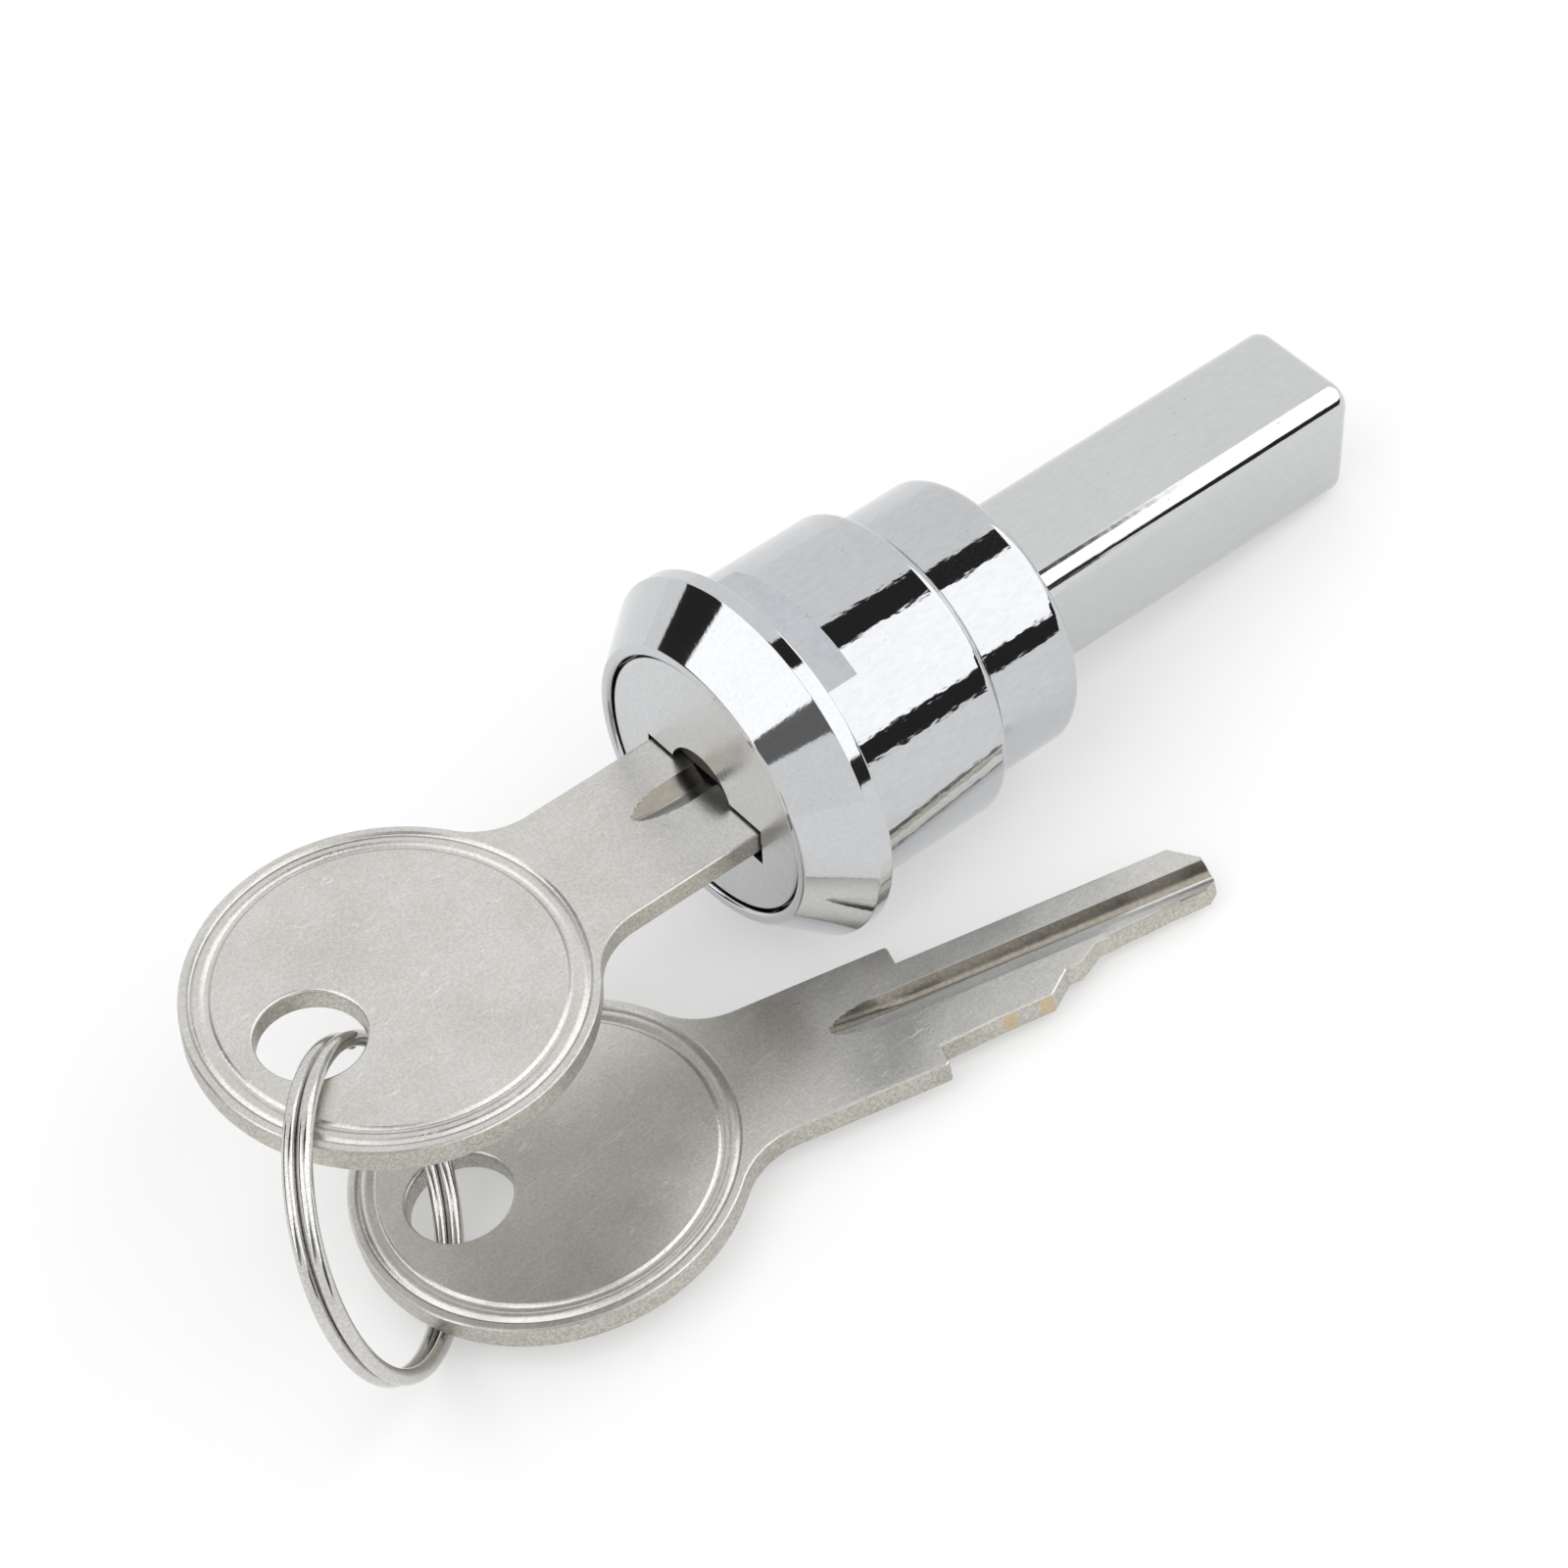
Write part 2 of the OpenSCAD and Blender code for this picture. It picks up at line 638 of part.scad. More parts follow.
// A V groove along the blade, which rises out of the stem's face at its end
module long_groove() {
    start_u = stem_len - 2;
    rise = atan2(groove_depth, groove_runout);
    run = key_tip_u - start_u + 1;
    translate([start_u, groove_v, key_t / 2 - groove_depth])
        for (tilt = [[0, run], [180, groove_runout + 1]])
            rotate([0, tilt[0] == 0 ? 0 : 180 + rise, 0])
                along_x()
                    linear_extrude(tilt[1])
                        polygon(tilt[0] == 0
                            ? [[0, 0], [groove_w, 2 * groove_depth], [-groove_w, 2 * groove_depth]]
                            : [[0, 0], [groove_w, -2 * groove_depth], [-groove_w, -2 * groove_depth]]);
}

module rim_groove() {
    translate([0, 0, key_t / 2 - rim_groove_depth])
        difference() {
            cylinder(r = bow_r - rim_inset, h = 1);
            translate([0, 0, -1])
                cylinder(r = bow_r - rim_inset - rim_groove_w, h = 3);
        }
}

module key() {
    difference() {
        translate([0, 0, -key_t / 2])
            linear_extrude(key_t)
                key_outline();
        for (side = [0, 180])
            rotate([side, 0, 0]) {
                rim_groove();
                long_groove();
            }
    }
}

module key_1() {
    color("tan")
        lay()
            translate([bow_x, 0, key_z])
                key();
}

module key_2() {
    color("burlywood")
        centered()
            translate(loose_at)
                rotate([0, 0, loose_heading + touch_heading])
                    rotate([-key_2_lean, 0, 0])
                        rotate([0, 0, -touch_heading])
                            translate([-touch[0], -touch[1], key_t / 2])
                                key();
}

module split_ring() {
    color("darkgray")
        centered()
            translate(ring_center)
                rotate([0, 90 - ring_lean, ring_heading])
                    rotate([0, 0, (hole_1_angle + hole_2_angle) / 2])
                        wound_wire(ring_r, loop_steps, ring_heights, ring_wire_t, ring_wire_w);
}

lock_body();
stop_pin();
retaining_ring();
plug();
retainer();
retainer_spring();
drive_bar();
wafer(0);  // wafer_1
wafer(1);  // wafer_2
wafer(2);  // wafer_3
wafer(3);  // wafer_4
wafer(4);  // wafer_5
wafer(5);  // wafer_6
wafer_spring(0);  // wafer_spring_1
wafer_spring(1);  // wafer_spring_2
wafer_spring(2);  // wafer_spring_3
wafer_spring(3);  // wafer_spring_4
wafer_spring(4);  // wafer_spring_5
wafer_spring(5);  // wafer_spring_6
key_1();
key_2();
split_ring();
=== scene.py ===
import bpy
import json
from math import atan2, cos, degrees, pi, radians, sin, sqrt, tan
from mathutils import Matrix, Quaternion, Vector


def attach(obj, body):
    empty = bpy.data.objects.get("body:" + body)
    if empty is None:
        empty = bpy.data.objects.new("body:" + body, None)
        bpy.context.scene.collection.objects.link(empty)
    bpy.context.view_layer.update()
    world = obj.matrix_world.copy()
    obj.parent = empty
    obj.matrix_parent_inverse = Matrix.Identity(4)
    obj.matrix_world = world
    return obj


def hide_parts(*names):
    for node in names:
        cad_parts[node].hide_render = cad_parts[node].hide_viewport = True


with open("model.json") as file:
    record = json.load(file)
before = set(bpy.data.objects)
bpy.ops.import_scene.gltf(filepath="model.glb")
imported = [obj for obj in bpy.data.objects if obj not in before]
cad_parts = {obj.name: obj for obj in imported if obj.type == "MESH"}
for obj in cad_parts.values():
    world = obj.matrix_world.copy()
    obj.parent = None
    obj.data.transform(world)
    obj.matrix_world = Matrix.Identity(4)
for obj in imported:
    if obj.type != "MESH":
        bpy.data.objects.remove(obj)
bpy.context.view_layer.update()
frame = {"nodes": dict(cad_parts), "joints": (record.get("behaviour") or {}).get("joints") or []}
print("frame loaded:", len(frame["nodes"]), "nodes")

# Pieces are shaped in millimetres round their own axes, then placed in metres.
mm = 0.001
micron = 0.001 * mm
joinGap = 0.002  # points of a mesh closer than this are made one
lyingAlong = (0, pi / 2, 0)  # turns a cylinder's axis from up to along the lock
joints = {joint["name"]: joint for joint in frame["joints"]}
lockAxis = Vector(joints["plug_turn"]["axis"]).normalized()
lockSide = Vector((0, 1, 0))
lockUp = lockAxis.cross(lockSide)
lockPlace = Matrix((lockAxis, lockSide, lockUp)).transposed().to_4x4()
lockPlace.translation = Vector(joints["plug_turn"]["pos_m"])


def objectMode():
    if bpy.context.object and bpy.context.object.mode != "OBJECT":
        bpy.ops.object.mode_set(mode="OBJECT")


def pickNothing():
    objectMode()
    bpy.ops.object.select_all(action="DESELECT")


def pickOnly(piece):
    pickNothing()
    piece.select_set(True)
    bpy.context.view_layer.objects.active = piece


def startPiece(name):  # names the primitive that was just added
    piece = bpy.context.object
    piece.name = name
    piece.data.name = name
    return piece


def pickEdges(piece, wanted):  # selects the edges whose two ends pass the test
    pickOnly(piece)
    bpy.ops.object.mode_set(mode="EDIT")
    bpy.ops.mesh.select_mode(type="EDGE")
    bpy.ops.mesh.select_all(action="DESELECT")
    objectMode()
    points = piece.data.vertices
    for edge in piece.data.edges:
        edge.select = wanted(points[edge.vertices[0]].co, points[edge.vertices[1]].co)
    bpy.ops.object.mode_set(mode="EDIT")


def closeUp():  # leaves edit mode with every face pointing outwards
    bpy.ops.mesh.select_all(action="SELECT")
    bpy.ops.mesh.normals_make_consistent(inside=False)
    objectMode()


def trace(name, points):  # a closed outline, drawn by extruding one vertex from point to point
    pickNothing()
    bpy.ops.mesh.primitive_plane_add(size=1)
    piece = startPiece(name)
    bpy.ops.object.mode_set(mode="EDIT")
    bpy.ops.mesh.select_mode(type="VERT")
    bpy.ops.mesh.select_all(action="SELECT")
    bpy.ops.mesh.merge(type="CENTER")
    points = [Vector(point) for point in points]
    bpy.ops.transform.translate(value=points[0])
    for here, there in zip(points, points[1:] + points[:1]):
        bpy.ops.mesh.extrude_vertices_move(TRANSFORM_OT_translate={"value": there - here})
    bpy.ops.mesh.select_all(action="SELECT")
    bpy.ops.mesh.remove_doubles(threshold=joinGap)
    return piece


def lathe(name, points, axis, steps):  # an outline spun all the way round
    piece = trace(name, points)
    bpy.ops.mesh.spin(steps=steps, angle=2 * pi, center=(0, 0, 0), axis=axis)
    bpy.ops.mesh.select_all(action="SELECT")
    bpy.ops.mesh.remove_doubles(threshold=joinGap)
    closeUp()
    return piece


def prism(name, points, rise):  # an outline filled and raised
    piece = trace(name, points)
    bpy.ops.mesh.edge_face_add()
    bpy.ops.mesh.extrude_region_move(TRANSFORM_OT_translate={"value": rise})
    closeUp()
    return piece


def block(name, low, high):  # between two opposite corners
    pickNothing()
    low = Vector(low)
    high = Vector(high)
    bpy.ops.mesh.primitive_cube_add(size=1, location=(low + high) / 2)
    piece = startPiece(name)
    bpy.ops.transform.resize(value=high - low)
    bpy.ops.object.transform_apply(location=True, rotation=True, scale=True)
    return piece


def rod(name, radius, length, middle, steps, turn=(0, 0, 0)):
    pickNothing()
    bpy.ops.mesh.primitive_cylinder_add(
        vertices=steps, radius=radius, depth=length, location=middle, rotation=turn)
    return startPiece(name)


def applyModifier(piece, kind, **settings):
    pickOnly(piece)
    change = piece.modifiers.new(kind.lower(), kind)
    for setting, value in settings.items():
        setattr(change, setting, value)
    bpy.ops.object.modifier_apply(modifier=change.name)


def cut(piece, tool, operation="DIFFERENCE"):
    applyModifier(piece, "BOOLEAN", object=tool, operation=operation, solver="EXACT")
    bpy.data.objects.remove(tool)


def smooth(piece, angle=32):  # broad faces keep their own normals, and small ones follow them
    pickOnly(piece)
    bpy.ops.object.shade_smooth_by_angle(angle=radians(angle))
    applyModifier(piece, "WEIGHTED_NORMAL", keep_sharp=True, weight=80)


def place(piece, matrix):  # from millimetres at the origin to metres in the frame
    pickOnly(piece)
    piece.matrix_world = matrix @ Matrix.Scale(mm, 4)
    bpy.ops.object.transform_apply(location=True, rotation=True, scale=True)


def arc(middle, radius, start, end, steps):  # points of an arc, angles in degrees
    turns = [radians(start + (end - start) * i / steps) for i in range(steps + 1)]
    return [(middle[0] + radius * cos(a), middle[1] + radius * sin(a)) for a in turns]


# The camera, fitted to the lock's edges in the photograph
view = {
    "place": (-81.3906, -147.3072, 240.618),
    "turn": (0.881887, 0.311366, -0.035232, -0.352258),
    "lens": 107.606,
    "sensor": 36,
    "clipStart": 0.01,
}
bpy.ops.object.camera_add(location=Vector(view["place"]) * mm)
camera = bpy.context.object
camera.name = "photoCamera"
camera.rotation_mode = "QUATERNION"
camera.rotation_quaternion = Quaternion(view["turn"])
camera.data.lens = view["lens"]
camera.data.sensor_width = view["sensor"]
camera.data.clip_start = view["clipStart"]
bpy.context.scene.camera = camera
bpy.context.scene.view_settings.view_transform = "Standard"
print("camera set")


class Wire:  # one socket, with arithmetic
    def __init__(self, shade, socket):
        self.shade = shade
        self.socket = socket

    def __getitem__(self, output):  # another output of the same node
        return Wire(self.shade, self.socket.node.outputs[output])

    def math(self, operation, *values):
        return self.shade.node("Math", {"operation": operation}, dict(enumerate(values)))

    def __add__(self, other):
        return self.math("ADD", self, other)

    def __radd__(self, other):
        return self.math("ADD", other, self)

    def __sub__(self, other):
        return self.math("SUBTRACT", self, other)

    def __rsub__(self, other):
        return self.math("SUBTRACT", other, self)

    def __mul__(self, other):
        return self.math("MULTIPLY", self, other)

    def __rmul__(self, other):
        return self.math("MULTIPLY", other, self)

    def __neg__(self):
        return self.math("MULTIPLY", self, -1)

    def most(self, other):  # the greater of the two
        return self.math("MAXIMUM", self, other)

    def rise(self, low, high):  # from 0 at low to 1 at high
        return self.shade.node("MapRange", {"interpolation_type": "SMOOTHSTEP"},
                               {"Value": self, "From Min": low, "From Max": high})

    def band(self, low, high, soft):  # 1 between low and high
        return self.rise(low - soft, low + soft) * (1 - self.rise(high - soft, high + soft))


class Shade:  # one material's or world's nodes
    def __init__(self, owner):
        owner.use_nodes = True
        self.tree = owner.node_tree
        self.tree.nodes.clear()

    def node(self, kind, settings=None, inputs=None):
        made = self.tree.nodes.new("ShaderNode" + kind)
        for setting, value in (settings or {}).items():
            setattr(made, setting, value)
        for socket, value in (inputs or {}).items():
            if isinstance(value, Wire):
                self.tree.links.new(value.socket, made.inputs[socket])
            else:
                made.inputs[socket].default_value = value
        outputs = [output for output in made.outputs if output.enabled]
        return Wire(self, outputs[0]) if outputs else None

    def mix(self, factor, first, second):  # of two colours
        first = (*first, 1) if isinstance(first, tuple) else first
        second = (*second, 1) if isinstance(second, tuple) else second
        return self.node("Mix", {"data_type": "RGBA"},
                         {"Factor": factor, 6: first, 7: second})["Result"]


# The studio seen in the polished metal: soft boxes and dark gaps along the lock's axis.
# Each zone is given by its span along the axis, its angles round it, and its light.
studio = {
    "plain": 1.0,
    "turnSoft": 0.8,
    "alongSoft": 0.003,
    "zones": [
        {"along": (0, 0.5), "turn": (-11.4, 8.2), "light": 0.028},
        {"along": (0, 0.5), "turn": (8.2, 68), "light": 1.7},
        {"along": (0, 0.5), "turn": (68, 84), "light": 0.028},
        {"along": (0.5, 1.1), "turn": (-18, 63), "light": 1.75},
        {"along": (0.5, 1.1), "turn": (63, 84), "light": 0.028},
        {"along": (-1.1, -0.3), "turn": (-80, -55), "light": 0.028},
        {"along": (-1.1, -0.3), "turn": (-55, 27), "light": 1.7},
        {"along": (-1.1, -0.3), "turn": (27, 52), "light": 0.18},
    ],
}


def makeWorld():
    world = bpy.data.worlds.new("studio")
    bpy.context.scene.world = world
    shade = Shade(world)
    sky = shade.node("TexCoord")["Generated"]
    along = shade.node("VectorMath", {"operation": "DOT_PRODUCT"}, {0: sky, 1: lockAxis})["Value"]
    up = shade.node("VectorMath", {"operation": "DOT_PRODUCT"}, {0: sky, 1: lockUp})["Value"]
    side = shade.node("SeparateXYZ", None, {0: sky})["Y"]
    turn = along.math("ARCTAN2", -side, up) * degrees(1)
    light = 0 * along + studio["plain"]
    for zone in studio["zones"]:
        mask = turn.band(*zone["turn"], studio["turnSoft"])
        mask = mask * along.band(*zone["along"], studio["alongSoft"])
        light = light + mask * (zone["light"] - studio["plain"])
    seen = shade.node("LightPath")["Is Camera Ray"]
    strength = light + seen * (1 - light)
    background = shade.node("Background", None, {"Color": (1, 1, 1, 1), "Strength": strength})
    shade.node("OutputWorld", None, {"Surface": background})


makeWorld()


# White paper under the object. Its glow is what the camera and the metal see of it, and lights nothing.
ground = {"size": 4, "height": -0.00003, "paper": (0.94, 0.94, 0.94, 1), "glow": 0.36}


def makeFloor():
    pickNothing()
    bpy.ops.mesh.primitive_plane_add(size=ground["size"], location=(0, 0, ground["height"]))
    floor = startPiece("floor")
    bpy.ops.object.transform_apply(location=True, rotation=True, scale=True)
    material = bpy.data.materials.new("floorWhite")
    shade = Shade(material)
    path = shade.node("LightPath")
    seen = path["Is Camera Ray"].most(path["Is Glossy Ray"]).most(path["Is Transmission Ray"])
    paper = shade.node("BsdfDiffuse", None, {"Color": ground["paper"]})
    glow = shade.node("Emission", None, {"Color": (1, 1, 1, 1), "Strength": 1})
    surface = shade.node("MixShader", None, {0: seen * ground["glow"], 1: paper, 2: glow})
    shade.node("OutputMaterial", None, {"Surface": surface})
    floor.data.materials.append(material)


makeFloor()
print("studio and floor made")

# Finishes. Colours are linear. Grain and wave are the sizes of the surface's bumps in millimetres,
# with their heights in micrometres, and hair is how strongly fine scratches show.
finishes = {
    "castChrome": {"colour": (0.565, 0.575, 0.59), "shade": (0.51, 0.518, 0.532), "rough": (0.03, 0.05),
                   "grain": 0.4, "depth": 8.5, "wave": 3.0, "waveDepth": 5, "specks": 0.4, "hair": 0.1,
                   "drawn": 0.4},
    "turnedChrome": {"colour": (0.585, 0.593, 0.605), "shade": (0.53, 0.538, 0.55), "rough": (0.03, 0.07),
                     "grain": 0.28, "depth": 1.6, "wave": 3.0, "waveDepth": 3, "specks": 0.35, "hair": 0.3},
    "plugChrome": {"colour": (0.67, 0.677, 0.687), "shade": (0.57, 0.575, 0.582), "rough": (0.26, 0.36),
                   "grain": 0.3, "depth": 5, "wave": 1.6, "waveDepth": 5, "specks": 0.5, "hair": 0.5},
    # painted shade: the plug's inner faces are coloured dark to stand in for the shade in its keyway, slots
    # and relief
    "plugInside": {"colour": (0.12, 0.117, 0.11), "shade": (0.05, 0.05, 0.048), "rough": (0.45, 0.6),
                   "grain": 0.2, "depth": 4, "wave": 1.5, "waveDepth": 3, "specks": 0.2, "hair": 0.0},
    "barChrome": {"colour": (0.61, 0.617, 0.622), "shade": (0.57, 0.577, 0.582), "rough": (0.04, 0.08),
                  "grain": 0.4, "depth": 3.5, "wave": 4.0, "waveDepth": 3, "specks": 0.35, "hair": 0.2,
                  "drawn": 0.4},
    "keyNickel": {"colour": (0.7, 0.69, 0.662), "shade": (0.52, 0.509, 0.48), "rough": (0.27, 0.33),
                  "grain": 0.2, "depth": 9, "wave": 3.0, "waveDepth": 3, "specks": 0.5, "hair": 0.9},
    # painted light: the groove's two slopes are lit and shaded copies of one finish, one coloured dark as
    # painted shade, one light as a painted highlight
    "grooveDull": {"colour": (0.45, 0.42, 0.36), "shade": (0.35, 0.32, 0.265), "rough": (0.14, 0.22),
                   "grain": 0.3, "depth": 2, "wave": 1.5, "waveDepth": 3, "specks": 0.3, "hair": 0.2},
    "grooveBright": {"colour": (0.84, 0.83, 0.8), "shade": (0.72, 0.71, 0.67), "rough": (0.14, 0.22),
                     "grain": 0.3, "depth": 2, "wave": 1.5, "waveDepth": 3, "specks": 0.2, "hair": 0.2},
    "keyWall": {"colour": (0.68, 0.66, 0.61), "shade": (0.34, 0.32, 0.28), "rough": (0.34, 0.5),
                "grain": 0.22, "depth": 20, "wave": 0.9, "waveDepth": 12, "specks": 0.5, "hair": 0.4},
    "keyCut": {"colour": (0.64, 0.53, 0.36), "shade": (0.46, 0.38, 0.26), "rough": (0.3, 0.45),
               "grain": 0.2, "depth": 6, "wave": 1.0, "waveDepth": 4, "specks": 0.3, "hair": 0.3},
    "ringNickel": {"colour": (0.68, 0.672, 0.65), "shade": (0.46, 0.45, 0.43), "rough": (0.09, 0.17),
                   "grain": 0.2, "depth": 2, "wave": 1.2, "waveDepth": 5, "specks": 0.4, "hair": 0.4},
    "brass": {"colour": (0.56, 0.4, 0.14), "shade": (0.4, 0.27, 0.09), "rough": (0.25, 0.4),
              "grain": 0.2, "depth": 2, "wave": 1.5, "waveDepth": 2, "specks": 0.4, "hair": 0.4},
    "springSteel": {"colour": (0.5, 0.5, 0.52), "shade": (0.35, 0.35, 0.36), "rough": (0.2, 0.3),
                    "grain": 0.1, "depth": 0.6, "wave": 1, "waveDepth": 1, "specks": 0.2, "hair": 0.2},
    "pinSteel": {"colour": (0.45, 0.45, 0.47), "shade": (0.36, 0.36, 0.38), "rough": (0.2, 0.3),
                 "grain": 0.15, "depth": 1, "wave": 1, "waveDepth": 1, "specks": 0.2, "hair": 0.3},
    "clipBlack": {"colour": (0.07, 0.07, 0.075), "shade": (0.035, 0.035, 0.04), "rough": (0.4, 0.6),
                  "grain": 0.15, "depth": 3, "wave": 1, "waveDepth": 2, "specks": 0.3, "hair": 0.3},
}

# What the finishes share. Sizes and gaps are in millimetres, and each pair is where a pattern
# starts to show and where it shows in full.
pattern = {
    "sandShare": 0.45,
    "cloudSize": 6, "cloudRise": (0.3, 0.7), "cloudTint": 0.36,
    "grainRise": (0.38, 0.62), "grainTint": 0.34,
    "sandRise": (0.36, 0.64), "sandTint": 0.3, "sandHeight": 0.16,
    "patchSize": 1.7, "patchRise": (0.6, 0.75), "patchTint": 0.25,
    "speckGap": 0.55, "speckPick": (0.72, 0.74), "speckEdge": (0.05, 0.13),
    "speckShade": 0.4, "speckRough": 0.3,
    "hairs": (
        {"turn": 35, "gap": 0.5, "where": (0.52, 0.6)},
        {"turn": -50, "gap": 0.6, "where": (0.42, 0.5)},
    ),
    "hairLength": 22, "hairEdge": (0.002, 0.009), "hairTint": 0.5, "hairLight": 1.25, "hairRough": 0.12,
}


def noise(shade, spot, size, detail):
    return shade.node("TexNoise", {"noise_dimensions": "3D"}, {
        "Vector": spot, "Scale": 1 / (size * mm), "Detail": detail, "Roughness": 0.55})


def hairlines(shade, spot, turn, gap):  # thin scratches, one gap apart and many gaps long
    across = 1 / (gap * mm)
    lying = shade.node("Mapping", {"vector_type": "POINT"}, {
        "Vector": spot, "Rotation": (0, 0, radians(turn)),
        "Scale": (across / pattern["hairLength"], across, across)})
    field = shade.node("TexNoise", {"noise_dimensions": "3D"}, {
        "Vector": lying, "Scale": 1.0, "Detail": 1.0, "Roughness": 0.5}) - 0.5
    return 1 - field.math("ABSOLUTE", field).rise(*pattern["hairEdge"])


def drawnOut(shade, spot, share):  # squeezes the pattern's place along the lock, which lengthens it
    along = shade.node("VectorMath", {"operation": "DOT_PRODUCT"}, {0: spot, 1: lockAxis})["Value"]
    shift = shade.node("VectorMath", {"operation": "SCALE"}, {0: lockAxis, "Scale": along * (share - 1)})
    return shade.node("VectorMath", {"operation": "ADD"}, {0: spot, 1: shift})


def makeMetal(name):
    look = finishes[name]
    p = pattern
    material = bpy.data.materials.new(name)
    shade = Shade(material)
    spot = shade.node("TexCoord")["Object"]
    if "drawn" in look:
        spot = drawnOut(shade, spot, look["drawn"])
    grain = noise(shade, spot, look["grain"], 1.0)
    sand = noise(shade, spot, look["grain"] * p["sandShare"], 2.0)
    wave = noise(shade, spot, look["wave"], 2.0)
    cloud = noise(shade, spot, p["cloudSize"], 5.0).rise(*p["cloudRise"])
    patch = noise(shade, spot, p["patchSize"], 2.0)
    cells = shade.node("TexVoronoi", {"feature": "F1"}, {
        "Vector": spot, "Scale": 1 / (p["speckGap"] * mm), "Randomness": 1.0})
    picked = shade.node("SeparateColor", None, {"Color": cells["Color"]})["Red"].rise(*p["speckPick"])
    dust = (1 - cells["Distance"].rise(*p["speckEdge"])) * picked * look["specks"]
    tint = cloud * p["cloudTint"] + grain.rise(*p["grainRise"]) * p["grainTint"]
    tint = tint + sand.rise(*p["sandRise"]) * p["sandTint"]
    tint = tint * (1 - patch.rise(*p["patchRise"]) * p["patchTint"])
    colour = shade.mix(tint, look["shade"], look["colour"])
    colour = shade.mix(dust, colour, tuple(p["speckShade"] * part for part in look["colour"]))
    low, high = look["rough"]
    rough = low + (high - low) * cloud + dust * p["speckRough"]
    if look["hair"]:
        lines = [hairlines(shade, spot, hair["turn"], hair["gap"]) * patch.rise(*hair["where"])
                 for hair in p["hairs"]]
        scratch = lines[0].most(lines[1]) * look["hair"]
        colour = shade.mix(scratch * p["hairTint"], colour,
                           tuple(p["hairLight"] * part for part in look["colour"]))
        rough = rough + scratch * p["hairRough"]
    height = (grain + sand * p["sandHeight"]) * (look["depth"] * micron)
    height = height + wave * (look["waveDepth"] * micron)
    bump = shade.node("Bump", None, {"Height": height, "Distance": 1.0, "Strength": 1.0})
    surface = shade.node("BsdfPrincipled", None, {
        "Base Color": colour, "Metallic": 1.0, "Roughness": rough, "Normal": bump})
    shade.node("OutputMaterial", None, {"Surface": surface})
    return material


metals = {name: makeMetal(name) for name in finishes}
print("metals made:", len(metals))


def wear(piece, *names, choice=None):  # the choice names a face's finish by its middle and normal
    for name in names:
        piece.data.materials.append(metals[name])
    for face in piece.data.polygons:
        face.material_index = names.index(choice(face.center, face.normal)) if choice else 0


housing = {
    "steps": 240,
    "boreR": 8.97, "lipR": 9.81, "lipX": -4.65, "lipRound": 0.28,
    "landX": -1.1, "bezelR": 12.5, "edgeRound": 0.16, "edgeDip": 0.012,
    "barrelR": 10.65, "barrelX": 10.9, "shoulderRound": 0.5, "fillet": 0.4,
    "undercutX": 11.46, "undercutR": 0.14, "neckR": 9.35, "endX": 18.1, "endRound": 0.8,
    "hubR": 7.96, "hubFloorX": 14.14, "hubEdge": 0.1, "grooveR": 8.51, "grooveX": (16.83, 17.7),
    "plugR": 6.26, "retainerR": 6.95, "retainerX": (-1.36, -0.24), "headFloorX": -1.84,
    "slotX": (-0.02, 3.1), "slotZ": 9.0, "slotTool": (11.5, 13),
    "channelX": (0.14, 13.8), "channelR": 7.3, "channelZ": (-3.6, 1.8),
    "pinR": 0.7, "pinOut": 7.8, "pinAngle": 225, "pinX": (-3.04, 0.06), "pinSteps": 48,
    "turnedTo": 0.05,  # the bezel ahead of this is turned smoother than the rest
    # points this far beside the roundings keep the broad faces' shading flat
    "hold": 0.06, "backHold": 0.05, "seatHold": 0.08,
}


